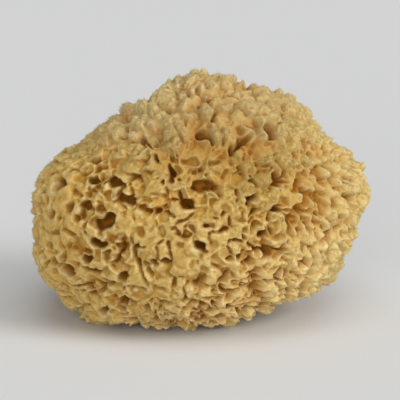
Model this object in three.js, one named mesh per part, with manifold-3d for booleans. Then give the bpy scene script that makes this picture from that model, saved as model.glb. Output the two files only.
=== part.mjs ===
// A natural honeycomb sponge, dried and trimmed: one springy skeleton with pits all over it,
// fingers of fibre on its right side and underneath, and a base cut flat where it grew.
// Millimetres, +Z up. The origin is on the ground under the middle of the sponge, and -Y is its front.
import * as THREE from "three";
import { ConvexHull } from "three/addons/math/ConvexHull.js";
import { mergeVertices } from "three/addons/utils/BufferGeometryUtils.js";
import Module from "manifold-3d";

// Form: radii run out from a point called the heart.
const heart = new THREE.Vector3(-0.25, 0.1, 46);
const outlineRadii = [
  71, 76, 69, 67, 64, 63, 63, 58, 57, 58, 61, 73, 75, 75, 67, 66, 55, 52, 50, 50, 50, 54, 63, 66,
]; // the front outline, every 15 degrees from +X towards +Z
const plainHalfWidth = 72; // the ellipse that the outline fades into towards the front and the back
const plainHalfHeight = 57;
const frontReach = 57;
const backReach = 58;
const fullness = 2.3; // 2 is an ellipsoid, more is boxier
const outlineFade = 3; // how fast the outline gives way to the ellipse
const swells = [
  { towards: [-0.45, -0.85, -0.1], spread: 32, height: 2.5 }, // belly, front left
  { towards: [-0.2, -0.75, 0.62], spread: 15, height: -4 }, // crease under the crown, left
  { towards: [0.22, -0.78, 0.58], spread: 15, height: -4.5 }, // crease under the crown, right
  { towards: [0.62, -0.65, 0.38], spread: 16, height: -2.5 }, // crease beside the right cheek
  { towards: [0.1, 0.55, 0.85], spread: 24, height: 2 }, // crown, towards the back
  { towards: [-0.6, 0.75, 0.1], spread: 26, height: 2.5 }, // back left
  { towards: [0.55, 0.8, -0.15], spread: 22, height: 2 }, // back right
  { towards: [0, 0.95, 0.3], spread: 16, height: -3 }, // hollow in the back
];

// Pits: each cell of the honeycomb is a pit or a finger, with a wall around it.
const cellCount = 640;
const cellScatter = 0.38; // of the distance between cells
const openShare = [0.56, 0.78]; // of a cell's reach that its mouth takes
const openLimit = 0.85;
const pitDepth = [7, 12];
const landScatter = 0.7; // how far the wall tops rise and fall
const fingerHeight = [1, 3];
const fingerSink = 1.8; // the ground between fingers lies this far in
const fingerRight = [30, 55]; // fingers come in between these distances right of the heart
const fingerLow = [34, 14]; // and between these heights above the ground
const fingerShare = 0.75;
const baseRise = [1, 9]; // pits fade out below the upper height, so that the cut base keeps its land
const basePitDepth = 1.2;

// The largest pits in the front view: right of the middle and up from the ground in the view's own
// plane through the heart, and how wide the mouth is.
const viewTilt = 14; // degrees that the view looks down
const viewDistance = 800;
const sightHalvings = 40; // steps of the search along a line of sight
const frontPits = [
  [3, 82, 7],
  [21, 80, 5],
  [16, 75, 6],
  [-20, 70, 5],
  [33, 84, 6],
  [-43, 42, 8],
  [-51, 49, 6],
  [-34, 52, 6],
  [-6, 50, 6],
  [-13, 65, 5],
  [4, 40, 6],
  [1, 29, 7],
  [17, 25, 5],
  [32, 38, 5],
  [39, 61, 8],
  [24, 53, 6],
  [3, 59, 9],
  [37, 48, 6],
  [-22, 24, 5],
  [-35, 5, 6],
  [-28, 11, 6],
  [-24, 0, 5],
  [-60, 19, 6],
  [-44, 2, 5],
  [32, 29, 8],
  [-52, 26, 5],
  [-45, 32, 6],
  [-48, 62, 6],
  [-38, 60, 6],
  [-63, 59, 7],
  [-26, 82, 5],
  [-34, 17, 6],
];
const usualPitWidth = 6;
const pitClearance = 5.5; // other cells keep this far from a front pit

const spongeColour = new THREE.Color().setRGB(0.76, 0.6, 0.34, THREE.SRGBColorSpace);

const toRadians = THREE.MathUtils.degToRad;
const { lerp, smoothstep } = THREE.MathUtils;

// A repeatable value from 0 to 1 for a number, with a separate run of values for each use.
const use = { acrossX: 1, acrossY: 2, acrossZ: 3, kind: 4, open: 5, depth: 6, height: 7, land: 8 };
function scatter(number, run) {
  const wave = Math.sin(number * 127.1 + run * 311.7) * 43758.5453;
  return wave - Math.floor(wave);
}

// The outline's radius at an angle: a closed Catmull-Rom curve through outlineRadii.
function outlineRadius(angle) {
  const count = outlineRadii.length;
  const place = (((angle / (2 * Math.PI)) % 1) + 1) * count;
  const step = Math.floor(place);
  const [before, start, end, after] = [-1, 0, 1, 2].map((k) => outlineRadii[(step + k) % count]);
  const t = place - step;
  const slope = end - before;
  const bend = 2 * before - 5 * start + 4 * end - after;
  const twist = 3 * (start - end) + after - before;
  return start + 0.5 * t * (slope + t * (bend + t * twist));
}

const swellList = swells.map(({ towards, spread, height }) => ({
  direction: new THREE.Vector3(...towards).normalize(),
  spread: toRadians(spread),
  height,
}));

// How far the smooth form reaches from the heart in a direction: an outline swept round into a
// rounded body, with soft swells and creases on it.
function formRadius(direction) {
  const { x, y, z } = direction;
  const across = Math.hypot(x, z);
  const angle = Math.atan2(z, x);
  const plain = 1 / Math.hypot(Math.cos(angle) / plainHalfWidth, Math.sin(angle) / plainHalfHeight);
  const outline = plain + (outlineRadius(angle) - plain) * across ** outlineFade;
  const reach = y < 0 ? frontReach : backReach;
  const body = ((across / outline) ** fullness + (Math.abs(y) / reach) ** fullness) ** (-1 / fullness);
  return swellList.reduce((radius, swell) => {
    const turn = direction.angleTo(swell.direction) / swell.spread;
    return radius + swell.height * Math.exp(-0.5 * turn * turn);
  }, body);
}

// The point of the form in a direction, raised by a height.
function formPoint(direction, raised = 0) {
  return direction.clone().multiplyScalar(formRadius(direction) + raised).add(heart);
}

// The direction from the heart to where a line of sight meets the front of the form.
function sightDirection(right, up) {
  const tilt = toRadians(viewTilt);
  const forward = new THREE.Vector3(0, Math.cos(tilt), -Math.sin(tilt));
  const upward = new THREE.Vector3(0, Math.sin(tilt), Math.cos(tilt));
  const eye = heart.clone().addScaledVector(forward, -viewDistance);
  const seen = heart.clone().addScaledVector(upward, up - heart.z);
  seen.x = right;
  const sight = seen.sub(eye).normalize();
  let near = viewDistance - 2 * frontReach;
  let far = viewDistance;
  for (let halving = 0; halving < sightHalvings; halving++) {
    const middleWay = (near + far) / 2;
    const offset = eye.clone().addScaledVector(sight, middleWay).sub(heart);
    if (offset.length() > formRadius(offset.clone().normalize())) near = middleWay;
    else far = middleWay;
  }
  return eye.addScaledVector(sight, far).sub(heart).normalize();
}

// The middles of the cells: the front pits, and a spiral of scattered points over the rest.
function cellMiddles() {
  const middles = frontPits.map(([right, up, width]) => ({
    direction: sightDirection(right, up),
    widening: width / usualPitWidth,
    isFront: true,
  }));
  const halfLength = plainHalfWidth;
  const halfGirth = (frontReach + plainHalfHeight) / 2;
  const gap = Math.sqrt((4 * Math.PI * halfLength * halfGirth) / cellCount);
  const goldenTurn = Math.PI * (3 - Math.sqrt(5));
  for (let i = 0; i < cellCount; i++) {
    const along = 1 - (2 * i + 1) / cellCount;
    const girth = halfGirth * Math.sqrt(1 - along * along);
    const turn = i * goldenTurn;
    const point = new THREE.Vector3(along * halfLength, girth * Math.cos(turn), girth * Math.sin(turn));
    const runs = [use.acrossX, use.acrossY, use.acrossZ];
    const nudge = new THREE.Vector3(...runs.map((run) => 2 * scatter(i, run) - 1));
    const direction = point.addScaledVector(nudge, cellScatter * gap).normalize();
    const place = formPoint(direction);
    const isClear = middles.every(
      (other) => !other.isFront || formPoint(other.direction).distanceTo(place) > pitClearance * other.widening,
    );
    if (isClear) middles.push({ direction, widening: 1, isFront: false });
  }
  return middles;
}

// What each cell is: how open its mouth is, and how far its tip lies above the form (below, for a pit).
function describeCell(cell, index) {
  const place = formPoint(cell.direction);
  const rightward = smoothstep(place.x - heart.x, ...fingerRight);
  const downward = 1 - smoothstep(place.z, fingerLow[1], fingerLow[0]);
  const chance = Math.max(rightward, downward) * fingerShare;
  cell.isFinger = !cell.isFront && scatter(index, use.kind) < chance;
  cell.open = Math.min(openLimit, lerp(...openShare, scatter(index, use.open)) * Math.sqrt(cell.widening));
  const land = smoothstep(place.z, ...baseRise);
  const depth = lerp(basePitDepth, lerp(...pitDepth, scatter(index, use.depth)), land);
  cell.tip = cell.isFinger ? lerp(...fingerHeight, scatter(index, use.height)) * land : -depth;
  cell.sink = cell.isFinger ? fingerSink : 0;
}

// The skin: the hull of the cell middles gives each cell its neighbours. A cell's mouth has a corner
// towards each face of the hull, a tip closes it, and the wall tops between the mouths are flat.
function honeycombGeometry() {
  const cells = cellMiddles();
  cells.forEach(describeCell);
  const indexOf = new Map(cells.map((cell, index) => [cell.direction, index]));
  const hull = new ConvexHull().setFromPoints(cells.map((cell) => cell.direction));
  const faceNumber = new Map(hull.faces.map((face, number) => [face, number]));
  const positions = [];

  const tip = (cell) => formPoint(cells[cell].direction, cells[cell].tip);
  function corner(cell, face) {
    const { direction, open, sink } = cells[cell];
    const raised = (2 * scatter(cell + faceNumber.get(face), use.land) - 1) * landScatter - sink;
    return formPoint(direction.clone().lerp(face.normal, open).normalize(), raised);
  }
  const addTriangle = (...points) => points.forEach((point) => positions.push(...point.toArray()));

  for (const face of hull.faces) {
    let edge = face.edge;
    const junction = [];
    do {
      const other = edge.twin.face;
      const from = indexOf.get(edge.tail().point);
      const to = indexOf.get(edge.head().point);
      junction.push(corner(to, face));
      addTriangle(tip(from), corner(from, other), corner(from, face));
      if (faceNumber.get(face) < faceNumber.get(other)) {
        const wall = [corner(from, other), corner(to, other), corner(to, face), corner(from, face)];
        addTriangle(wall[0], wall[1], wall[2]);
        addTriangle(wall[0], wall[2], wall[3]);
      }
      edge = edge.next;
    } while (edge !== face.edge);
    addTriangle(...junction);
  }
  return new THREE.BufferGeometry().setAttribute("position", new THREE.Float32BufferAttribute(positions, 3));
}

const wasm = await Module();
wasm.setup();
const mergeDistance = 1e-4;

function solidFrom(geometry) {
  for (const name of ["normal", "uv"]) geometry.deleteAttribute(name);
  const merged = mergeVertices(geometry, mergeDistance);
  return new wasm.Manifold(
    new wasm.Mesh({
      numProp: 3,
      vertProperties: new Float32Array(merged.attributes.position.array),
      triVerts: new Uint32Array(merged.index.array),
    }),
  );
}

function geometryFrom(solid) {
  const { vertProperties, triVerts } = solid.getMesh();
  return new THREE.BufferGeometry()
    .setAttribute("position", new THREE.BufferAttribute(vertProperties, 3))
    .setIndex(new THREE.BufferAttribute(triVerts, 1));
}

// The base: everything below the ground is cut away flat.
function cutBase(solid) {
  const side = 4 * plainHalfWidth;
  const below = new THREE.BoxGeometry(side, side, side).translate(0, 0, -side / 2);
  return solid.subtract(solidFrom(below));
}

const geometry = geometryFrom(cutBase(solidFrom(honeycombGeometry())));
geometry.computeVertexNormals();
const material = new THREE.MeshStandardMaterial({ color: spongeColour, roughness: 0.95, metalness: 0 });
const sponge = new THREE.Mesh(geometry, material);
sponge.name = "sponge";

const group = new THREE.Group();
group.add(sponge);
export default group;
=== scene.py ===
import math

import bpy
import numpy as np
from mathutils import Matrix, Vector


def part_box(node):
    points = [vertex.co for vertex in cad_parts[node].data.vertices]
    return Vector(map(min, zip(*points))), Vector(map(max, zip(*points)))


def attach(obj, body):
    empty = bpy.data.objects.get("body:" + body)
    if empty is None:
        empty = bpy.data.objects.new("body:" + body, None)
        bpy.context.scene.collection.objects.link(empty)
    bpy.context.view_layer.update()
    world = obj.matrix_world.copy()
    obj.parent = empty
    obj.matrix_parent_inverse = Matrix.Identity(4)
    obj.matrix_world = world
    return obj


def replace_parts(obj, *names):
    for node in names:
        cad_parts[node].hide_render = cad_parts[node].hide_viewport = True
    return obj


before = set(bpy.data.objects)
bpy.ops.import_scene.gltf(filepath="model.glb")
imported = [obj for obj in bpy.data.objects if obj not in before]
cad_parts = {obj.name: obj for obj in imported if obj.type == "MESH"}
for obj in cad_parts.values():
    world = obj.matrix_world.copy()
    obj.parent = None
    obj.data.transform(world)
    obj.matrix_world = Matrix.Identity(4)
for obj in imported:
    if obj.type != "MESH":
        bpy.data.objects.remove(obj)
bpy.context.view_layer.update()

# the smooth form under the pits: drawn in millimetres, scaled to the solid's box
form = {
    "drawnWidth": 152.7,
    "heart": (-0.25, 0.1, 46.0),  # radii run out from here
    "outlineRadii": [71, 76, 69, 67, 64, 63, 63, 58, 57, 58, 61, 73,
                     75, 75, 67, 66, 55, 52, 50, 50, 50, 54, 63, 66],  # every 15 degrees, +X towards +Z
    "plainHalfWidth": 72,
    "plainHalfHeight": 57,
    "frontReach": 57,
    "backReach": 58,
    "fullness": 2.3,
    "outlineFade": 3,
    "swells": [  # towards, spread in degrees, height
        ((-0.45, -0.85, -0.1), 32, 2.5),
        ((-0.2, -0.75, 0.62), 15, -4),
        ((0.22, -0.78, 0.58), 15, -4.5),
        ((0.62, -0.65, 0.38), 16, -2.5),
        ((0.1, 0.55, 0.85), 24, 2),
        ((-0.6, 0.75, 0.1), 26, 2.5),
        ((0.55, 0.8, -0.15), 22, 2),
        ((0, 0.95, 0.3), 16, -3),
    ],
}
boxLow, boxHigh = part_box("sponge")
mm = (boxHigh.x - boxLow.x) / form["drawnWidth"]
heart = np.array(form["heart"])


# smoothstep: 0 below start, 1 above end, 3t^2 - 2t^3 between
def easeStep(value, start, end):
    t = np.clip((value - start) / (end - start), 0, 1)
    return t * t * (3 - 2 * t)


def unit(vectors):  # each row divided by its length
    return vectors / np.maximum(np.linalg.norm(vectors, axis=-1, keepdims=True), 1e-12)


# a repeatable value from 0 to 1 for each number: the fraction of a large sine
def scatter(number, run):
    wave = np.sin(number * 127.1 + run * 311.7) * 43758.5453
    return wave - np.floor(wave)


# lattice points to scrambled whole numbers: each axis multiplied, added up and bit-mixed
def mixLattice(lattice, run):
    x, y, z = (lattice[..., axis].astype(np.int64).astype(np.uint32) for axis in range(3))
    mixed = x * np.uint32(374761393) + y * np.uint32(668265263) + z * np.uint32(2246822519)
    mixed = mixed + np.uint32((run * 3266489917) % 2**32)
    mixed = (mixed ^ (mixed >> np.uint32(15))) * np.uint32(2654435761)
    mixed = (mixed ^ (mixed >> np.uint32(13))) * np.uint32(1274126177)
    return mixed ^ (mixed >> np.uint32(16))


# value noise from -1 to 1: lattice values blended between the eight corners by a smoothstep
def softNoise(points, size, run):
    scaled = points / size
    base = np.floor(scaled)
    t = scaled - base
    t = t * t * (3 - 2 * t)
    total = np.zeros(len(points))
    for corner in np.ndindex(2, 2, 2):
        share = np.prod(np.where(np.array(corner) == 1, t, 1 - t), axis=-1)
        total += share * (mixLattice(base + np.array(corner), run) / 2.0**32)
    return 2 * total - 1


def softVector(points, size, run):  # three noises side by side
    return np.stack([softNoise(points, size, run + axis) for axis in range(3)], axis=-1)


# scattered cells: distances to the nearest three points of a jittered lattice, the nearest one's own
# value and a value for the pair of the nearest two; a point's offsets are ten bits each of its number
def cellNoise(points, size, run, jitter=0.85):
    scaled = points / size
    base = np.floor(scaled)
    first, second, third = (np.full(len(points), 9.0) for _ in range(3))
    own, other = (np.zeros(len(points), np.uint32) for _ in range(2))
    for step in np.ndindex(3, 3, 3):
        lattice = base + np.array(step) - 1
        mixed = mixLattice(lattice, run)
        bits = [(mixed >> np.uint32(shift)) & np.uint32(1023) for shift in (0, 10, 20)]
        bits = np.stack(bits, axis=-1)
        away = lattice + 0.5 - jitter / 2 + bits * (jitter / 1023) - scaled
        away = np.sqrt((away * away).sum(-1))
        nearest = away < first
        nearer = away < second
        third = np.where(nearer, second, np.minimum(third, away))
        other = np.where(nearest, own, np.where(nearer, mixed, other))
        second = np.where(nearest, first, np.where(nearer, away, second))
        own = np.where(nearest, mixed, own)
        first = np.where(nearest, away, first)
    stir = np.uint32(2654435761)
    value = ((own * stir) >> np.uint32(8)) / 2.0**24
    pair = (((own ^ other) * stir) >> np.uint32(8)) / 2.0**24
    return first * size, second * size, third * size, value, pair


# the outline's radius at an angle: a closed Catmull-Rom curve through the radii
def outlineRadius(angle):
    radii = np.array(form["outlineRadii"], float)
    count = len(radii)
    place = (angle / (2 * np.pi)) % 1 * count
    step = np.floor(place).astype(int)
    t = place - step
    before, start, end, after = (radii[(step + k) % count] for k in (-1, 0, 1, 2))
    slope = end - before
    bend = 2 * before - 5 * start + 4 * end - after
    twist = 3 * (start - end) + after - before
    return start + 0.5 * t * (slope + t * (bend + t * twist))


# bell curves over the angle from where each swell stands, times its height, added up
def swellHeight(direction, swells):
    total = np.zeros(len(direction))
    for towards, spread, height in swells:
        turn = np.arccos(np.clip(direction @ unit(np.array(towards, float)), -1, 1))
        total += height * np.exp(-0.5 * (turn / math.radians(spread)) ** 2)
    return total


# how far the form reaches in each direction: the outline rounded off to the front and the back as a
# superellipse, plus the swells
def formRadius(direction):
    x, y, z = direction.T
    across = np.hypot(x, z)
    angle = np.arctan2(z, x)
    plain = 1 / np.hypot(np.cos(angle) / form["plainHalfWidth"], np.sin(angle) / form["plainHalfHeight"])
    outline = plain + (outlineRadius(angle) - plain) * across ** form["outlineFade"]
    reach = np.where(y < 0, form["frontReach"], form["backReach"])
    power = form["fullness"]
    radius = ((across / outline) ** power + (np.abs(y) / reach) ** power) ** (-1 / power)
    return radius + swellHeight(direction, form["swells"])


def formPoint(direction):  # heart plus radius times direction
    return heart + formRadius(direction)[:, None] * direction


# the honeycomb: where the pits are, as in the solid
honeycomb = {
    "cellCount": 640,
    "cellScatter": 0.38,
    "usualWidth": 6,
    "clearance": 5.5,
    "viewTilt": 14,  # degrees that the view looks down
    "viewDistance": 800,
    "halvings": 40,
    "slice": 16384,  # points that are worked on at a time
    "frontPits": [  # right of the middle, up from the ground, width of the mouth
        (3, 82, 7), (21, 80, 5), (16, 75, 6), (-20, 70, 5), (33, 84, 6), (-43, 42, 8), (-51, 49, 6),
        (-34, 52, 6), (-6, 50, 6), (-13, 65, 5), (4, 40, 6), (1, 29, 7), (17, 25, 5), (32, 38, 5),
        (39, 61, 8), (24, 53, 6), (3, 59, 9), (37, 48, 6), (-22, 24, 5), (-35, 5, 6), (-28, 11, 6),
        (-24, 0, 5), (-60, 19, 6), (-44, 2, 5), (32, 29, 8), (-52, 26, 5), (-45, 32, 6), (-48, 62, 6),
        (-38, 60, 6), (-63, 59, 7), (-26, 82, 5), (-34, 17, 6),
    ],
}
viewTilt = math.radians(honeycomb["viewTilt"])
viewForward = np.array([0, math.cos(viewTilt), -math.sin(viewTilt)])
viewUpward = np.array([0, math.sin(viewTilt), math.cos(viewTilt)])
viewEye = heart - honeycomb["viewDistance"] * viewForward


# directions to where lines of sight meet the front of the form: halving the way along each line
def sightDirections(right, up):
    seen = heart + viewUpward * (up - heart[2])[:, None]
    seen[:, 0] = right
    sight = unit(seen - viewEye)
    near = np.full(len(right), honeycomb["viewDistance"] - 2.0 * form["frontReach"])
    far = np.full(len(right), float(honeycomb["viewDistance"]))
    for _ in range(honeycomb["halvings"]):
        half = (near + far) / 2
        offset = viewEye + half[:, None] * sight - heart
        outside = np.linalg.norm(offset, axis=1) > formRadius(unit(offset))
        near = np.where(outside, half, near)
        far = np.where(outside, far, half)
    return unit(viewEye + far[:, None] * sight - heart)


# middles of the cells: the front pits, then a scattered spiral over the rest of the form
def cellMiddles():
    right, up, width = np.array(honeycomb["frontPits"], float).T
    front = sightDirections(right, up)
    count = honeycomb["cellCount"]
    number = np.arange(count)
    halfLength = form["plainHalfWidth"]
    halfGirth = (form["frontReach"] + form["plainHalfHeight"]) / 2
    gap = math.sqrt(4 * math.pi * halfLength * halfGirth / count)
    along = 1 - (2 * number + 1) / count
    girth = halfGirth * np.sqrt(1 - along**2)
    turn = number * math.pi * (3 - math.sqrt(5))
    spiral = np.stack([along * halfLength, girth * np.cos(turn), girth * np.sin(turn)], axis=1)
    nudge = np.stack([2 * scatter(number, run) - 1 for run in (1, 2, 3)], axis=1)
    spiral = unit(spiral + nudge * honeycomb["cellScatter"] * gap)
    away = np.linalg.norm(formPoint(spiral)[:, None] - formPoint(front)[None], axis=2)
    clear = (away > honeycomb["clearance"] * width / honeycomb["usualWidth"]).all(axis=1)
    widening = np.concatenate([width / honeycomb["usualWidth"], np.ones(clear.sum())])
    return np.concatenate([front, spiral[clear]]), widening, len(front)


cellDirection, cellWidening, frontCount = cellMiddles()
cellPlace = formPoint(cellDirection)
cellNumber = np.arange(len(cellPlace))
print("honeycomb:", len(cellPlace), "cells,", frontCount, "placed by sight")


# nearest, second and third cell of each point, by the squares of their distances, in slices to spare
# memory
def nearestCells(points):
    order = np.empty((len(points), 3), int)
    away = np.empty((len(points), 3))
    count = honeycomb["slice"]
    for begin in range(0, len(points), count):
        part = points[begin:begin + count]
        square = (part**2).sum(1)[:, None] + (cellPlace**2).sum(1) - 2 * part @ cellPlace.T
        rows = np.arange(len(part))
        for rank in range(3):
            nearest = square.argmin(1)
            order[begin:begin + count, rank] = nearest
            away[begin:begin + count, rank] = np.sqrt(np.maximum(square[rows, nearest], 0))
            square[rows, nearest] = np.inf
    return order, away


# the zones of the surface, each from 0 to 1: trimmed flat at the front left, folded on the top,
# tufted at the right and underneath
zones = {
    "tuftRight": (30, 54),
    "tuftLow": (12, 34),
    "tuftTilt": 0.3,  # the tufts underneath reach higher to the right
    "foldHeight": (72, 94),
    "foldLessRight": 0.5,  # the folds fade this much to the right, and the low tufts on the trimmed part
    "lowLessTrim": 0.5,
    "trimTowards": (-0.62, -0.75, -0.22),
    "trimSpread": 34,
    "plainLean": (0.0, -0.9, 0.2),  # walls and tufts lean this way, in each zone
    "trimLean": (0.4, -1.2, 0.2),
    "rightLean": (0.1, 0.3, -0.3),
    "lowLean": (1.5, -0.2, -0.4),
    "leanSize": 24.0,
}


# steps over X and Z for the tufts and folds, and a bell curve over the angle from where the trim faces
def surfaceZones(place, direction):
    right = easeStep(place[:, 0], *zones["tuftRight"])
    fold = easeStep(place[:, 2], *zones["foldHeight"]) * (1 - zones["foldLessRight"] * right)
    turn = np.arccos(np.clip(direction @ unit(np.array(zones["trimTowards"])), -1, 1))
    trim = np.exp(-0.5 * (turn / math.radians(zones["trimSpread"])) ** 2) * (1 - right)
    low = 1 - easeStep(place[:, 2] - zones["tuftTilt"] * place[:, 0], *zones["tuftLow"])
    low = low * (1 - right) * (1 - zones["lowLessTrim"] * trim)
    return right, low, fold, trim


# which way walls and tufts lean along the surface: a slow noise plus each zone's own lean, less what
# points straight out
def leanField(place, direction, right, low, trim):
    lean = softVector(place, zones["leanSize"], 95) + np.array(zones["plainLean"])
    for share, label in ((right, "rightLean"), (low * (1 - trim), "lowLean"), (trim, "trimLean")):
        lean = lean + share[:, None] * np.array(zones[label])
    return lean - (lean * direction).sum(1)[:, None] * direction


# creases that can be told apart at the front: each route's points, right of the middle and up from
# the ground
creases = {
    "depth": 5.0,
    "halfWidth": 0.9,
    "shoulder": (1.0, 2.0),  # how far the lands round off towards a crease, and over what length
    "taper": 4.0,  # they run out over this length, from a little past the route's ends
    "overrun": 0.5,
    "endWidth": 0.4,  # shares of width and depth that are left at the ends
    "endDepth": 0.3,
    "bottom": 0.25,  # the share of the width that is flat
    "routes": [
        [(-8.7, 58), (-8.3, 52.5), (-6, 48)],
        [(-1, 47), (-5.4, 43.4), (-10.5, 41), (-10.7, 38)],
        [(-35.5, 36), (-35.3, 30), (-37.7, 24.6), (-41.3, 20.7)],
        [(-27, 33.5), (-29.7, 30), (-29.7, 27), (-28, 23), (-26, 18.6), (-24, 14.7), (-23, 11.5)],
        [(-54, 21.4), (-50, 19.4), (-45.7, 18)],
        [(34, 59), (40, 63), (42.7, 68)],
        [(24, 43.4), (26.7, 46.6), (29, 49.4)],
        [(22.7, 28.2), (28.7, 28.6), (34.3, 28.2), (40, 28.6), (43, 29.8)],
        [(22.7, 17.8), (29, 17.4)],
        [(-26, 83), (-25.6, 81), (-22, 76.6)],
        [(22, 81), (17.8, 75.7), (16, 73)],
        [(-57.8, 12.4), (-53.7, 12.8), (-50, 12.8)],
        [(-42, 15.4), (-43.3, 11.7), (-46.3, 10)],
    ],
}


# depth of the creases: from each point to the nearest point of a route, segment by segment; a cut that
# is deepest midway along the route and runs out to its ends
def creaseDepth(points):
    deepest = np.zeros(len(points))
    for route in creasePlaces:
        steps = np.linalg.norm(np.diff(route, axis=0), axis=1)
        runs = np.concatenate([[0], np.cumsum(steps)])
        near = np.full(len(points), np.inf)
        along = np.zeros(len(points))
        for start, end, run, length in zip(route[:-1], route[1:], runs, steps):
            t = np.clip((points - start) @ (end - start) / length**2, 0, 1)
            away = np.linalg.norm(points - start - t[:, None] * (end - start), axis=1)
            along = np.where(away < near, run + t * length, along)
            near = np.minimum(near, away)
        runOut = min(creases["taper"], runs[-1] / 2)
        taper = easeStep(np.minimum(along, runs[-1] - along), -creases["overrun"], runOut)
        width = creases["halfWidth"] * (creases["endWidth"] + (1 - creases["endWidth"]) * taper)
        cut = creases["depth"] * (creases["endDepth"] + (1 - creases["endDepth"]) * taper)
        cut = cut * (1 - easeStep(near, creases["bottom"] * width, width))
        rounding, reach = creases["shoulder"]
        deepest = np.maximum(deepest, cut + rounding * taper * np.exp(-((near / reach) ** 2)))
    return deepest


creasePlaces = []
for route in creases["routes"]:
    right, up = np.array(route, float).T
    creasePlaces.append(formPoint(sightDirections(right, up)))
print("creases:", len(creasePlaces), "placed by sight")

# the body's skin
skin = {
    "side": 112,  # squares along a cube's edge while the grid is relaxed, half the final count
    "blocks": ["right", "left", "back", "front", "top", "base"],  # one for each of the cube's sides
    "crowding": (0.0, -0.2, 0.05),  # the grid's points crowd this way
    "relaxRounds": 8,
    "relaxRate": 0.45,
    "relaxHollow": 0.38,  # how much less the grid's edges count where both ends are deep
    "softenRounds": 3,  # how often, and how far, edges are rounded off
    "softenRate": 0.5,
    "crestRounds": 24,  # how often the radius is blurred to find crests, and what it keeps each time
    "crestKeep": 0.3,
    "bendLarge": (1.7, 8.0),  # how far and over what length the honeycomb is bent
    "bendSmall": (0.6, 2.9),
    "wall": 0.9,  # half the thickness of the thinnest wall's top
    "pitRadius": (0.9, 3.3),
    "frontMargin": -0.4,
    "slit": 1.25,  # pits are stretched this much one way and narrowed as much the other way
    "slitLevel": 0.8,  # how strongly that way is kept level
    "seen": (0.1, 0.5),  # from where the skin faces the view, and from where it faces away
    "behind": (0.0, 0.5),
    "behindWider": 0.3,  # pits behind are this much wider and deeper
    "behindDeeper": 0.35,
    "seenShallower": 0.25,
    "trimNarrower": (0.12, 0.25),  # pits on the trimmed part, the front ones then the others
    "wallEdge": 0.7,  # half the width of the step from a wall's top into a pit
    "edgePlain": 0.6,  # the step is this much wider, or narrower
    "edgeFold": 0.8,
    "edgeTrim": -0.3,
    "rim": 0.8,  # height of the rims of the front pits, where they stand, their width, the others' share
    "rimPlace": -1.5,
    "rimWidth": 1.0,
    "plainRim": 0.4,
    "fray": (1.3, 3.8, 0.4, 1.8),  # how far walls fray and over what length, coarse then fine
    "frontFray": 1.4,  # the front pits' walls fray this many times as far
    "depth": (3.0, 8.0),
    "bowl": (0.6, 2.5),  # share of the depth at a pit's edge, and how far in it is full
    "foldShallower": 0.6,
    "tuftShallower": 0.3,
    "frontFoldShallower": 0.15,
    "bottomRoll": 4.0,
    "baseFade": (0.5, 3.5, 7.0),  # pits start above the base: from, front pits full, other pits full
    "dimpleShare": 0.35,  # of the plain pits, these are only dimples
    "dimpleDepth": 1.3,
    "frontDepth": (8.5, 12.0),
    "breachShare": 0.35,
    "breachDepth": (1.0, 3.5),
    "breachFork": (0.2, 1.6),  # breaches fade where three walls meet
    "breachLessFold": 0.7,
    "poreSize": 5.2,
    "poreShare": 0.2,
    "poreDepth": 3.0,
    "poreEdge": (0.35, 1.25),
    "poreFray": 0.35,
    "poreLessFold": 0.8,
    "poreLessTuft": 0.6,
    "clumpFray": 0.3,
    "grainSize": 1.6,
    "grainHeight": 0.3,
    "slant": 0.28,  # how far the walls lean, for each millimetre of height
    "slantFrom": -3.0,  # the height that stays in place, and how far below and above it the lean goes on
    "slantReach": (-8.0, 6.5),
    "slantFade": (0.0, 12.0),  # the lean starts above the base
    "lip": 0.4,
    "lipReach": 1.2,
    "hollowDepth": 8.0,  # skin as deep as this gets the full painted shade of a pit's bottom
    "creaseBack": 0.1,  # creases are looked for in front of this
    "wallSteps": 5,  # rows of the hidden wall round each block, and the height of its foot
    "wallFoot": -17.0,
    "landRise": (1.9, 11.0, 0.5, 4.2),  # how far the lands roll and over what length, twice
    "rollMoreFold": 0.6,
    "landLevel": -0.4,
    "foldLevel": -0.8,
    "lowLevel": -0.8,
    "trimLevel": 1.5,  # the trimmed lands grow this much further out before they are cut
    "trimCap": 0.0,
    "trimShare": 0.9,  # how much of what stands above the cut is taken off
    "plump": [  # where the soft skin stands out a little more: towards, spread in degrees, height
        ((0.97, -0.1, -0.22), 14, 2.6),
        ((1.0, -0.05, 0.02), 9, 2.0),
        ((0.7, 0.17, 0.7), 6, 2.6),
        ((0.5, 0.21, 0.87), 5, -0.8),
        ((0.26, 0.24, 0.97), 5, 1.6),
        ((0.86, -0.1, -0.5), 9, 1.4),
        ((0.91, 0.0, 0.41), 12, 1.5),
        ((-0.82, -0.1, -0.57), 13, 4.4),
        ((-1.0, -0.1, 0.0), 12, -1.6),
        ((-0.63, 0.19, 0.76), 4.5, 2.4),
        ((-0.75, 0.16, 0.66), 4.5, -2.2),
        ((-0.48, 0.22, 0.88), 6, -3.5),
        ((0.08, 0.25, 1.0), 8, -1.4),
        ((-0.95, -0.1, -0.3), 8, -1.2),
        ((-0.26, 0.0, 0.97), 6, 1.6),
        ((-0.37, -0.59, 0.72), 7, -1.6),
        ((-0.06, -0.78, 0.62), 8, -1.6),
        ((0.29, -0.69, 0.67), 8, -1.6),
        ((0.0, -0.62, -0.78), 20, -0.9),
        ((0.84, -0.05, 0.54), 7, -2.6),
        ((0.74, -0.6, 0.28), 9, -1.4),
        ((0.72, -0.65, -0.05), 8, -1.6),
    ],
}
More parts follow.
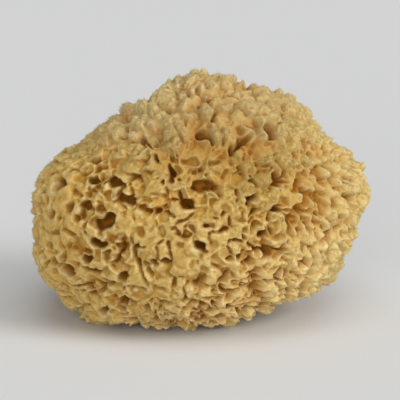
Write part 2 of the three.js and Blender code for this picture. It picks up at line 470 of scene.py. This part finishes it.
# clumps that crevices part: size, stretch along X, Y and Z, rise, dome, depth and gape of the crevices,
# and the share of the clumps' borders that have one
clumps = {
    "plain": {"size": 6.8, "stretch": (1, 1, 1), "rise": 0.7, "dome": 0.9,
              "crevice": 3.4, "gape": 0.95, "share": 0.4, "run": 61},
    "right": {"size": 3.9, "stretch": (1, 1, 1.9), "rise": 1.6, "dome": 1.5,
              "crevice": 4.0, "gape": 0.95, "share": 0.6, "run": 161},
    "low": {"size": 3.9, "stretch": (2.3, 1.05, 1.0), "rise": 2.1, "dome": 1.4,
            "crevice": 6.8, "gape": 1.3, "share": 0.8, "run": 261},
    "fold": {"size": 6.2, "stretch": (1.0, 1.0, 1.7), "rise": 1.7, "dome": 1.5,
             "crevice": 2.2, "gape": 0.95, "share": 0.42, "run": 361},
}
clumpEdge = {
    "bottom": 0.1,  # half the width of a crevice's flat bottom
    "fork": 0.7,  # crevices fade out this near to a third clump
    "seamDepth": 0.5,
    "seamWidth": 0.6,
    "domeReach": 0.6,
    "stand": (-0.2, 1.2),  # a clump comes up to its own height over this step
    "shallowest": 0.5,
}
# the last number that a scatter or a noise is given is its run, so that no two are alike
frontCell = cellNumber < frontCount
cellDepth = np.where(
    frontCell,
    np.interp(scatter(cellNumber, 6), [0, 1], skin["frontDepth"]),
    np.where(
        scatter(cellNumber, 8) < skin["dimpleShare"],
        skin["dimpleDepth"],
        np.interp(scatter(cellNumber, 6), [0, 1], skin["depth"]),
    ),
)
cellRadius = np.where(
    frontCell,
    cellWidening * honeycomb["usualWidth"] / 2 + skin["frontMargin"],
    np.interp(scatter(cellNumber, 5), [0, 1], skin["pitRadius"]),
)
# a pit is stretched along a scattered way across its axis, mostly level; the front pits' axes are the
# lines of sight
cellAxis = np.where(frontCell[:, None], unit(viewEye - cellPlace), cellDirection)
cellTurn = np.stack([2 * scatter(cellNumber, run) - 1 for run in (14, 15, 16)], axis=1)
cellSlit = unit(np.cross(cellAxis, cellTurn + np.array([0, 0, skin["slitLevel"]])))


# clumps of one kind: each cell of a stretched scatter stands at its own height, domed, with a crevice
# along some of the borders where two cells meet, fading out where a third comes near
def clumpHeight(points, wobble, kind):
    stretched = points / np.array(kind["stretch"])
    first, second, third, own, pair = cellNoise(stretched, kind["size"], kind["run"])
    gap = (second - first) / 2 + wobble
    crevice = (1 - easeStep(gap, clumpEdge["bottom"], kind["gape"])) * (pair < kind["share"])
    crevice = crevice * easeStep(third - second, 0, clumpEdge["fork"])
    crevice = crevice * kind["crevice"] * (clumpEdge["shallowest"] + pair / kind["share"])
    seam = clumpEdge["seamDepth"] * np.exp(-((gap / clumpEdge["seamWidth"]) ** 2))
    dome = -kind["dome"] * (first / (clumpEdge["domeReach"] * kind["size"])) ** 2
    stand = kind["rise"] * (2 * own - 1) * easeStep(gap, *clumpEdge["stand"])
    return stand + dome - seam - crevice


# a point at a height over the form: out along its direction, and along the lean in step with the height
def leanedPoint(smooth, direction, height, lean):
    rise = np.clip(height - skin["slantFrom"], *skin["slantReach"])
    rise = rise * easeStep(smooth[:, 2], *skin["slantFade"])
    points = smooth + height[:, None] * direction + (skin["slant"] * rise)[:, None] * lean
    points[:, 2] = np.maximum(points[:, 2], 0)
    return points


# the skin in each direction: the form, less a round pit in every cell of the bent and frayed honeycomb
# with breaches in the walls, less small pores, plus clumps and grain, then leaned in step with its height
def skinSurface(direction):
    smooth = formPoint(direction)
    right, low, fold, trim = surfaceZones(smooth, direction)
    tuft = np.maximum(right, low)
    bent = smooth + skin["bendLarge"][0] * softVector(smooth, skin["bendLarge"][1], 11)
    smallBend = skin["bendSmall"][0] * softVector(smooth, skin["bendSmall"][1], 21)
    bent = bent + smallBend
    order, away = nearestCells(bent)
    own, other = order[:, 0], order[:, 1]
    apart = np.linalg.norm(cellPlace[own] - cellPlace[other], axis=1)
    inward = (away[:, 1] ** 2 - away[:, 0] ** 2) / (2 * apart)  # distance from the wall's middle
    coarse, coarseSize, fine, fineSize = skin["fray"]
    fineFray = softNoise(smooth, fineSize, 35)
    frontPit = own < frontCount
    plainPit = np.where(frontPit, 0, 1)
    offset = bent - cellPlace[own]
    along = (offset * cellSlit[own]).sum(1)
    across = np.maximum(away[:, 0] ** 2 - along**2 - (offset * cellAxis[own]).sum(1) ** 2, 0)
    fromMiddle = np.sqrt((along / skin["slit"]) ** 2 + across * skin["slit"] ** 2)
    seen = easeStep(-(direction @ viewForward), *skin["seen"]) * plainPit
    behind = easeStep(direction @ viewForward, *skin["behind"]) * plainPit
    radius = cellRadius[own] * (1 - trim * np.where(frontPit, *skin["trimNarrower"]))
    radius = radius * (1 + skin["behindWider"] * behind)
    frayed = coarse * np.where(frontPit, skin["frontFray"], 1) * softNoise(smooth, coarseSize, 31)
    inside = np.minimum(inward - skin["wall"], radius - fromMiddle) + frayed + fine * fineFray
    widening = skin["edgePlain"] * plainPit + skin["edgeFold"] * fold + skin["edgeTrim"] * trim
    edge = skin["wallEdge"] * (1 + widening)
    pit = easeStep(inside, -edge, edge)
    rim = np.exp(-(((inside - skin["rimPlace"]) / skin["rimWidth"]) ** 2))
    rim = skin["rim"] * rim * np.where(frontPit, 1, skin["plainRim"])
    bowl, bowlReach = skin["bowl"]
    depth = cellDepth[own] * (bowl + (1 - bowl) * np.clip(inside / bowlReach, 0, 1))
    plainShare = (1 - skin["foldShallower"] * fold) * (1 - skin["tuftShallower"] * tuft)
    plainShare = plainShare * (1 - skin["seenShallower"] * seen + skin["behindDeeper"] * behind)
    depth = depth * np.where(frontPit, 1 - skin["frontFoldShallower"] * fold, plainShare)
    fadeStart, frontFull, plainFull = skin["baseFade"]
    baseFade = easeStep(smooth[:, 2], fadeStart, np.where(frontPit, frontFull, plainFull))
    depth = (depth + softNoise(smooth, skin["bottomRoll"], 37)) * baseFade
    pair = scatter(np.minimum(own, other) * 13.7 + np.maximum(own, other), 9)
    breach = np.interp(pair, [0, skin["breachShare"]], skin["breachDepth"]) * (pair < skin["breachShare"])
    breach = breach * easeStep(away[:, 2] - away[:, 1], *skin["breachFork"])
    breach = breach * (1 - skin["breachLessFold"] * fold)
    poreFirst, poreSecond, _, poreOwn, _ = cellNoise(bent, skin["poreSize"], 41)
    poreIn = (poreSecond - poreFirst) / 2 + skin["poreFray"] * fineFray
    pore = easeStep(poreIn, *skin["poreEdge"]) * (poreOwn < skin["poreShare"]) * skin["poreDepth"]
    pore = pore * (1 - skin["poreLessFold"] * fold) * (1 - skin["poreLessTuft"] * tuft)
    wobble = skin["clumpFray"] * fineFray
    shares = {
        "plain": (1 - right) * (1 - low) * (1 - fold),
        "right": right * (1 - fold),
        "low": low,
        "fold": fold,
    }
    clump = sum(share * clumpHeight(bent, wobble, clumps[label]) for label, share in shares.items())
    grainFirst, _, _, grainOwn, _ = cellNoise(smooth, skin["grainSize"], 81)
    grain = (grainOwn - grainFirst / skin["grainSize"]) * skin["grainHeight"]
    roll, rollSize, ripple, rippleSize = skin["landRise"]
    land = roll * softNoise(smooth, rollSize, 91) * (1 + skin["rollMoreFold"] * fold)
    land = land + ripple * softNoise(smooth, rippleSize, 92) + skin["landLevel"]
    land = land + skin["trimLevel"] * trim + skin["foldLevel"] * fold + skin["lowLevel"] * low
    crease = np.zeros(len(smooth))
    front = direction[:, 1] < skin["creaseBack"]
    crease[front] = creaseDepth((smooth + smallBend)[front])
    height = land + rim - np.maximum(pit * depth, crease) - (1 - pit) * breach - pore + clump + grain
    height = height - trim * skin["trimShare"] * np.maximum(0, height - skin["trimCap"])
    height = height + swellHeight(direction, skin["plump"])
    lean = leanField(smooth, direction, right, low, trim)
    toMiddle = cellPlace[own] - smooth
    toMiddle = unit(toMiddle - (toMiddle * direction).sum(1)[:, None] * direction)
    lip = np.exp(-((inside / (skin["lipReach"] * edge)) ** 2)) * (1 - pit) * skin["lip"]
    points = leanedPoint(smooth + lip[:, None] * toMiddle, direction, height, lean)
    # how deep the skin lies, from 0 to 1; it also sets the painted shade of the pits
    hollow = np.clip(-height / skin["hollowDepth"], 0, 1)
    return points, height, {"hollow": hollow, "right": right, "low": low, "fold": fold, "trim": trim}


# six square grids on a cube, spaced by the tangent of the angle and pushed out to a ball
def ballGrid(side):
    turn = np.tan(np.linspace(-1, 1, side + 1) * np.pi / 4)
    u, v = np.meshgrid(turn, turn, indexing="ij")
    one = np.ones_like(u)
    sheets = [(one, u, v), (-one, v, u), (v, one, u), (u, -one, v), (u, v, one), (v, u, -one)]
    points = np.concatenate([np.stack(sheet, axis=-1).reshape(-1, 3) for sheet in sheets])
    points, shared = np.unique(np.round(points, 6), axis=0, return_inverse=True)
    index = shared.reshape(6, side + 1, side + 1)
    return unit(points), index


def sheetQuads(index):  # the four corners of each square of a grid, or of a stack of grids
    corners = [index[..., :-1, :-1], index[..., 1:, :-1], index[..., 1:, 1:], index[..., :-1, 1:]]
    return np.stack(corners, axis=-1).reshape(-1, 4)


# the same grid twice as fine: each new direction is halfway between its neighbours
def refineGrid(direction, index):
    sheets = direction[index]
    side = index.shape[1] - 1
    fine = np.empty((6, 2 * side + 1, 2 * side + 1, 3))
    fine[:, ::2, ::2] = sheets
    fine[:, 1::2, ::2] = (sheets[:, :-1] + sheets[:, 1:]) / 2
    fine[:, :, 1::2] = (fine[:, :, :-2:2] + fine[:, :, 2::2]) / 2
    fineDirection, fineIndex = ballGrid(2 * side)
    fineDirection[fineIndex] = unit(fine)
    return fineDirection, fineIndex


# slides the grid's points towards their farther neighbours, so that steep walls get more of them, and
# fewer go to the bottoms of pits and to the flat base
def relaxGrid(direction, quads):
    edges = np.concatenate([quads[:, [k, (k + 1) % 4]] for k in range(4)])
    start, end = np.unique(np.sort(edges, axis=1), axis=0).T
    count = len(direction)
    direction = unit(direction + np.array(skin["crowding"]))
    for _ in range(skin["relaxRounds"]):
        points, height, tone = skinSurface(direction)
        hollow = tone["hollow"]
        length = np.linalg.norm(points[start] - points[end], axis=1)
        length = length * (1 - skin["relaxHollow"] * (hollow[start] + hollow[end]))
        weight = np.bincount(start, length, count) + np.bincount(end, length, count)
        pulled = np.stack([
            np.bincount(start, length * direction[end, axis], count)
            + np.bincount(end, length * direction[start, axis], count) for axis in range(3)
        ], axis=1) / weight[:, None]
        direction = unit(direction + skin["relaxRate"] * (pulled - direction))
    return direction


# the mean of each point's neighbours along the grid's edges
def neighbourMean(values, quads):
    start, end = np.concatenate([quads[:, [k, (k + 1) % 4]] for k in range(4)]).T
    count = np.bincount(start, minlength=len(values)) + np.bincount(end, minlength=len(values))
    columns = values.reshape(len(values), -1).T
    total = [np.bincount(start, c[end], len(c)) + np.bincount(end, c[start], len(c)) for c in columns]
    return (np.stack(total, axis=1) / count[:, None]).reshape(values.shape)


# edges rounded off: each point moves part of the way to its neighbours' mean, a few times over
def softened(points, quads):
    for _ in range(skin["softenRounds"]):
        points = points + skin["softenRate"] * (neighbourMean(points, quads) - points)
    return points


# how far each point stands out from the points around it: its radius less the same radius blurred over
# the grid's edges
def crestOf(points, quads):
    radius = np.linalg.norm(points - heart, axis=1)
    blurred = radius
    keep = skin["crestKeep"]
    for _ in range(skin["crestRounds"]):
        blurred = keep * blurred + (1 - keep) * neighbourMean(blurred, quads)
    return radius - blurred


# normals of the skin: each point's squares' own normals, from the cross product of their diagonals,
# added up
def skinNormals(points, quads):
    corner = points[quads]
    normal = np.cross(corner[:, 2] - corner[:, 0], corner[:, 3] - corner[:, 1])
    total = [np.bincount(quads.ravel(), np.repeat(normal[:, axis], 4), len(points)) for axis in range(3)]
    return unit(np.stack(total, axis=1))


# puts points in millimetres and faces into a smooth mesh object at the origin
def makePiece(name, points, faces, attributes, material):
    mesh = bpy.data.meshes.new(name)
    mesh.from_pydata((points * mm).tolist(), [], faces)
    mesh.polygons.foreach_set("use_smooth", np.ones(len(mesh.polygons), bool))
    for label, values in attributes.items():
        layer = mesh.attributes.new(label, "FLOAT", "POINT")
        layer.data.foreach_set("value", np.asarray(values, np.float32))
    mesh.materials.append(material)
    piece = bpy.data.objects.new(name, mesh)
    bpy.context.scene.collection.objects.link(piece)
    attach(piece, "root")
    return piece


# colours of the fibre, painted highlights and painted shade among them, and how strongly each effect shows
fibreLook = {
    # painted highlight: the crests paler, as where fibre tips catch the light
    "tip": (0.75, 0.577, 0.268),
    "pale": (0.675, 0.463, 0.142),
    "golden": (0.60, 0.37, 0.082),
    # painted shade for the crevices
    "gap": (0.555, 0.30, 0.04),
    # painted shade for the bottoms of the pits
    "deep": (0.36, 0.138, 0.002),
    # paler, greyer colour for the folded top
    "foldGrey": (0.62, 0.495, 0.26),
    "tuft": (0.70, 0.54, 0.245),
    # painted light: the underside tufts paler, standing in for light bounced up from the floor
    "lowBounceLight": (0.84, 0.665, 0.32),
    # painted light for the low front, standing in for light bounced up from the floor
    "bounceLight": (0.95, 0.77, 0.36),
    # painted shade for the recessed valley under the top hump
    "valleyShade": (0.38, 0.228, 0.054),
    "patchScale": 60,  # patches, grains and fuzz to a metre
    "grainScale": 700,
    "fuzzScale": 1500,
    "patchRange": (0.35, 0.65),
    "speckRange": (0.5, 0.75),
    "speckShare": 0.3,
    "layers": [  # the skin's value, its range, the share at the end of the range, the colour
        # painted highlight: paler where the skin stands out from its surroundings
        ("crest", (0.0, 1.5), 0.8, "tip"),
        # painted light on the underside tufts
        ("low", (0, 1), 0.45, "lowBounceLight"),
        # painted shade: darker where the skin lies below its surroundings
        ("crest", (0.0, -1.2), 0.8, "gap"),
        # the folded top paler and greyer
        ("fold", (0, 1), 0.55, "foldGrey"),
        ("right", (0, 1), 0.4, "tuft"),
        # painted light: paler at the spots on the low front
        ("pale", (0, 1), 0.3, "bounceLight"),
        # painted shade in the valley under the top hump
        ("valleyShade", (0, 1), 0.45, "valleyShade"),
        # painted shade: darker the deeper the skin lies in a pit
        ("hollow", (0.2, 0.9), 0.9, "deep"),
    ],
    "roughness": 0.92,
    "specular": 0.2,
    "glow": 0.25,  # share of the light that passes through the fibre
    "glowRadius": (1.0, 0.5, 0.2),  # how far red, green and blue pass, in steps of so many metres
    "glowScale": 0.002,
    "fuzzInBump": -0.7,
    "bumpStrength": 0.42,
    "bumpDistance": 0.0005,
}


# golden and pale patches, then the layers one over another, each by the skin's value mapped onto a share,
# among them painted highlights and painted shade; specks from a fine noise last, and a bump from the
# cells' distance and the same noise
def fibreMaterial():
    material = bpy.data.materials.new("spongeFibre")
    material.use_nodes = True
    nodes, links = material.node_tree.nodes, material.node_tree.links
    shader = nodes["Principled BSDF"]
    coordinates = nodes.new("ShaderNodeTexCoord")

    def noise(scale, detail):
        node = nodes.new("ShaderNodeTexNoise")
        node.inputs["Scale"].default_value = scale
        node.inputs["Detail"].default_value = detail
        links.new(coordinates.outputs["Object"], node.inputs["Vector"])
        return node.outputs["Fac"]

    def attribute(label):
        node = nodes.new("ShaderNodeAttribute")
        node.attribute_name = label
        return node.outputs["Fac"]

    def remap(value, low, high, start, end):
        node = nodes.new("ShaderNodeMapRange")
        for key, number in zip(("From Min", "From Max", "To Min", "To Max"), (low, high, start, end)):
            node.inputs[key].default_value = number
        links.new(value, node.inputs["Value"])
        return node.outputs["Result"]

    def blend(share, first, second):
        node = nodes.new("ShaderNodeMix")
        node.data_type = "RGBA"
        links.new(share, node.inputs["Factor"])
        for key, colour in (("A", first), ("B", second)):
            socket = [s for s in node.inputs if s.name == key and s.type == "RGBA"][0]
            if isinstance(colour, tuple):
                socket.default_value = (*colour, 1)
            else:
                links.new(colour, socket)
        return [s for s in node.outputs if s.type == "RGBA"][0]

    def cells(scale):
        node = nodes.new("ShaderNodeTexVoronoi")
        node.inputs["Scale"].default_value = scale
        links.new(coordinates.outputs["Object"], node.inputs["Vector"])
        return node.outputs["Distance"]

    def add(first, second, share):
        node = nodes.new("ShaderNodeMath")
        node.operation = "MULTIPLY_ADD"
        links.new(second, node.inputs[0])
        node.inputs[1].default_value = share
        links.new(first, node.inputs[2])
        return node.outputs["Value"]

    grain = cells(fibreLook["grainScale"])
    fuzzy = noise(fibreLook["fuzzScale"], 3)
    patch = remap(noise(fibreLook["patchScale"], 4), *fibreLook["patchRange"], 0, 1)
    colour = blend(patch, fibreLook["golden"], fibreLook["pale"])
    for label, (start, end), share, name in fibreLook["layers"]:
        colour = blend(remap(attribute(label), start, end, 0, share), colour, fibreLook[name])
    speck = remap(fuzzy, *fibreLook["speckRange"], 0, fibreLook["speckShare"])
    colour = blend(speck, colour, fibreLook["golden"])
    links.new(colour, shader.inputs["Base Color"])
    shader.inputs["Roughness"].default_value = fibreLook["roughness"]
    shader.inputs["Specular IOR Level"].default_value = fibreLook["specular"]
    shader.inputs["Subsurface Weight"].default_value = fibreLook["glow"]
    shader.inputs["Subsurface Radius"].default_value = fibreLook["glowRadius"]
    shader.inputs["Subsurface Scale"].default_value = fibreLook["glowScale"]
    bump = nodes.new("ShaderNodeBump")
    bump.invert = True
    bump.inputs["Strength"].default_value = fibreLook["bumpStrength"]
    bump.inputs["Distance"].default_value = fibreLook["bumpDistance"]
    links.new(add(grain, fuzzy, fibreLook["fuzzInBump"]), bump.inputs["Height"])
    links.new(bump.outputs["Normal"], shader.inputs["Normal"])
    return material


# spots at the front, placed by sight: painted shade in the recessed valley under the top hump, and painted
# light where the low front would catch light bounced up from the floor; right of the middle, up from the
# ground, spread in degrees
tints = {
    # painted shade: spots in the recessed valley under the top hump
    "valleyShade": [(30, 72, 13), (4, 79, 11), (-15, 74, 10)],
    # painted light: spots on the low front
    "pale": [(8, 13, 11), (28, 12, 12), (48, 16, 12), (60, 24, 9)],
}


# bell curves over the angle from each spot, added up to 1 at most
def tintShare(direction, spots):
    right, up, spread = np.array(spots, float).T
    turn = np.arccos(np.clip(direction @ sightDirections(right, up).T, -1, 1)) / np.radians(spread)
    return np.minimum(np.exp(-0.5 * turn**2).sum(1), 1)


fibre = fibreMaterial()
gridDirection, gridIndex = ballGrid(skin["side"])
gridDirection = relaxGrid(gridDirection, sheetQuads(gridIndex))
gridDirection, gridIndex = refineGrid(gridDirection, gridIndex)
gridQuads = sheetQuads(gridIndex)
skinPoints, skinHeight, skinTone = skinSurface(gridDirection)
skinPoints = softened(skinPoints, gridQuads)
# how far each point stands out; it places the painted highlights on the crests and the painted shade in
# the crevices
skinTone["crest"] = crestOf(skinPoints, gridQuads)
# spots of painted shade and painted light, each placed by sight
for label, spots in tints.items():
    skinTone[label] = tintShare(gridDirection, spots)
normals = skinNormals(skinPoints, gridQuads)
print("skin:", len(skinPoints), "points,", 2 * len(gridQuads), "triangles")


# one block of the body: a sheet of the skin, with a wall from its border down below the deepest pits,
# leaned as the skin is, and from there a cone to the heart
def bodyBlock(name, sheet):
    side = sheet.shape[0]
    steps = skin["wallSteps"]
    numbers = np.arange(side * side).reshape(side, side)
    border = np.concatenate([numbers[0, :-1], numbers[:-1, -1], numbers[-1, :0:-1], numbers[:0:-1, 0]])
    rows = sheet.ravel()
    rim = rows[border]
    direction = gridDirection[rim]
    smooth = formPoint(direction)
    right, low, fold, trim = surfaceZones(smooth, direction)
    lean = leanField(smooth, direction, right, low, trim)
    top = skinHeight[rim]
    heights = [top + (skin["wallFoot"] - top) * (k + 1) / steps for k in range(steps)]
    wall = [leanedPoint(smooth, direction, height, lean) for height in heights]
    count = len(border)
    rings = np.concatenate([border, side * side + np.arange(steps * count)]).reshape(steps + 1, count)
    upper, lower = rings[:-1], rings[1:]
    strips = [upper, np.roll(upper, -1, 1), np.roll(lower, -1, 1), lower]
    strips = np.stack(strips, axis=-1).reshape(-1, 4)
    heartNumber = side * side + steps * count
    cone = np.stack([rings[-1], np.roll(rings[-1], -1), np.full(count, heartNumber)], axis=1)
    points = np.concatenate([skinPoints[rows], *wall, heart[None]])
    inner = len(points) - len(rows)
    tone = {label: np.append(values[rows], np.ones(inner)) for label, values in skinTone.items()}
    faces = sheetQuads(numbers).tolist() + strips.tolist() + cone.tolist()
    block = makePiece(name, points, faces, tone, fibre)
    shade = np.concatenate([normals[rows], np.tile(normals[rim], (steps, 1)), [(0, 0, -1)]])
    block.data.normals_split_custom_set_from_vertices(shade.tolist())
    print(name + ":", 2 * (side - 1) ** 2 + 2 * len(strips) + count, "triangles")
    return block


for label, sheet in zip(skin["blocks"], gridIndex):
    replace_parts(bodyBlock("sponge_" + label, sheet), "sponge")

# fuzz: short tips of fibre that stand on the outer skin, each a thin three-sided spike
fuzz = {
    "tries": 52000,
    "pieces": 2,
    "length": (0.5, 1.5),
    "width": (0.16, 0.30),
    "sunk": 0.3,
    "lean": 0.5,
    "ruffle": 0.8,  # how far the tips point every way, and over what length that changes
    "ruffleSize": 1.5,
    "hollowLimit": 0.3,  # no tips deeper than this, or lower
    "lowest": 1.0,
    "run": 25,
    "runStep": 13,
    "ruffleRun": 75,
}


# values at scattered places of the skin: a mix of each chosen square's four corners
def onSkin(values, corners, shares):
    mixed = (values[corners].reshape(len(corners), 4, -1) * shares[:, :, None]).sum(1)
    return mixed.reshape(len(corners), *values.shape[1:])


# spikes: a triangle about each root, carried out to a point along the spike's axis
def fuzzPiece(name, root, axis, tone):
    count = len(root)
    number = np.arange(count)
    run = fuzz["run"]
    length = np.interp(scatter(number, run + 3), [0, 1], fuzz["length"])
    width = np.interp(scatter(number, run + 4), [0, 1], fuzz["width"])
    turn = 2 * np.pi * scatter(number, run + 6)
    side = unit(np.cross(axis, np.stack([np.cos(turn), np.sin(turn), 0.3 * np.sin(3 * turn)], axis=1)))
    other = np.cross(axis, side)
    foot = root - fuzz["sunk"] * axis
    around = 2 * np.pi * np.arange(3) / 3
    rim = foot[:, None] + width[:, None, None] * (
        np.cos(around)[None, :, None] * side[:, None] + np.sin(around)[None, :, None] * other[:, None])
    tip = root + length[:, None] * axis
    points = np.concatenate([rim, tip[:, None]], axis=1).reshape(-1, 3)
    each = np.array([(0, 1, 3), (1, 2, 3), (2, 0, 3), (0, 2, 1)])
    faces = (each[None] + 4 * number[:, None, None]).reshape(-1, 3)
    spread = {label: np.repeat(values, 4) for label, values in tone.items()}
    piece = makePiece(name, points, faces.tolist(), spread, fibre)
    print(name + ":", count, "tips,", len(faces), "triangles")
    return piece


for part in range(fuzz["pieces"]):
    number = np.arange(fuzz["tries"])
    run = fuzz["run"] + fuzz["runStep"] * part
    chosen = np.floor(scatter(number, run) * len(gridQuads)).astype(int)
    u, v = (scatter(number, run + k) for k in (1, 2))
    shares = np.stack([(1 - u) * (1 - v), u * (1 - v), u * v, (1 - u) * v], axis=1)
    corners = gridQuads[chosen]
    place = onSkin(skinPoints, corners, shares)
    direction = unit(onSkin(gridDirection, corners, shares))
    tone = {label: onSkin(values, corners, shares) for label, values in skinTone.items()}
    keep = (tone["hollow"] < fuzz["hollowLimit"]) & (place[:, 2] > fuzz["lowest"])
    lean = leanField(formPoint(direction), direction, tone["right"], tone["low"], tone["trim"])
    ruffle = fuzz["ruffle"] * softVector(place, fuzz["ruffleSize"], fuzz["ruffleRun"])
    axis = unit(direction + fuzz["lean"] * lean + ruffle)
    keptTone = {label: values[keep] for label, values in tone.items()}
    fuzzPiece("sponge_fuzz_%d" % (part + 1), place[keep], axis[keep], keptTone)

# pale floor
stage = {
    "floorHalf": 4.0,
    "floorColour": (0.825, 0.83, 0.822),
    "floorRoughness": 0.9,
    "floorSpecular": 0.1,
}
floorMesh = bpy.data.meshes.new("floor")
half = stage["floorHalf"]
floorCorners = [(-half, -half, 0), (half, -half, 0), (half, half, 0), (-half, half, 0)]
floorMesh.from_pydata(floorCorners, [], [(0, 1, 2, 3)])
floor = bpy.data.objects.new("floor", floorMesh)
bpy.context.scene.collection.objects.link(floor)
floorMaterial = bpy.data.materials.new("floorPaper")
floorMaterial.use_nodes = True
floorShader = floorMaterial.node_tree.nodes["Principled BSDF"]
floorShader.inputs["Base Color"].default_value = (*stage["floorColour"], 1)
floorShader.inputs["Roughness"].default_value = stage["floorRoughness"]
floorShader.inputs["Specular IOR Level"].default_value = stage["floorSpecular"]
floorMesh.materials.append(floorMaterial)

# soft studio light: an even sky and broad suns
light = {
    "sky": (0.66, 0.67, 0.675),
    "skyStrength": 0.345,
    "suns": [  # name, where it stands, strength, spread in degrees
        ("key", (0.95, -0.5, 0.6), 1.48, 30),
        ("above", (0.1, -0.35, 1.0), 0.74, 45),
        ("fill", (-0.12, -1.0, 0.28), 1.28, 40),
    ],
}
world = bpy.data.worlds.new("studio")
world.use_nodes = True
world.node_tree.nodes["Background"].inputs["Color"].default_value = (*light["sky"], 1)
world.node_tree.nodes["Background"].inputs["Strength"].default_value = light["skyStrength"]
bpy.context.scene.world = world
for name, towards, strength, spread in light["suns"]:
    lamp = bpy.data.lights.new(name, "SUN")
    lamp.energy = strength
    lamp.angle = math.radians(spread)
    lampObject = bpy.data.objects.new(name, lamp)
    lampObject.rotation_mode = "QUATERNION"
    lampObject.rotation_quaternion = Vector(towards).to_track_quat("Z", "Y")
    bpy.context.scene.collection.objects.link(lampObject)
bpy.context.scene.view_settings.view_transform = "Standard"
print("stage: floor and", len(light["suns"]), "suns")

# camera: looks at the heart from the photo's height, aimed a little past it to frame it the same way
camera = {"pixels": 400, "pixelSize": 0.4478, "sensor": 36.0, "heartPixel": (198, 213), "clip": (0.01, 50)}
lens = bpy.data.cameras.new("camera")
lens.sensor_width = camera["sensor"]
lens.lens = camera["sensor"] * honeycomb["viewDistance"] / (camera["pixels"] * camera["pixelSize"])
aside = (camera["pixels"] / 2 - camera["heartPixel"][0]) * camera["pixelSize"]
above = (camera["heartPixel"][1] - camera["pixels"] / 2) * camera["pixelSize"]
aim = heart + aside * np.array([1.0, 0, 0]) + above * viewUpward
eye = Vector(viewEye * mm)
cameraObject = bpy.data.objects.new("camera", lens)
cameraObject.location = eye
cameraObject.rotation_mode = "QUATERNION"
cameraObject.rotation_quaternion = (Vector(aim * mm) - eye).to_track_quat("-Z", "Y")
lens.clip_start, lens.clip_end = camera["clip"]
bpy.context.scene.collection.objects.link(cameraObject)
bpy.context.scene.camera = cameraObject
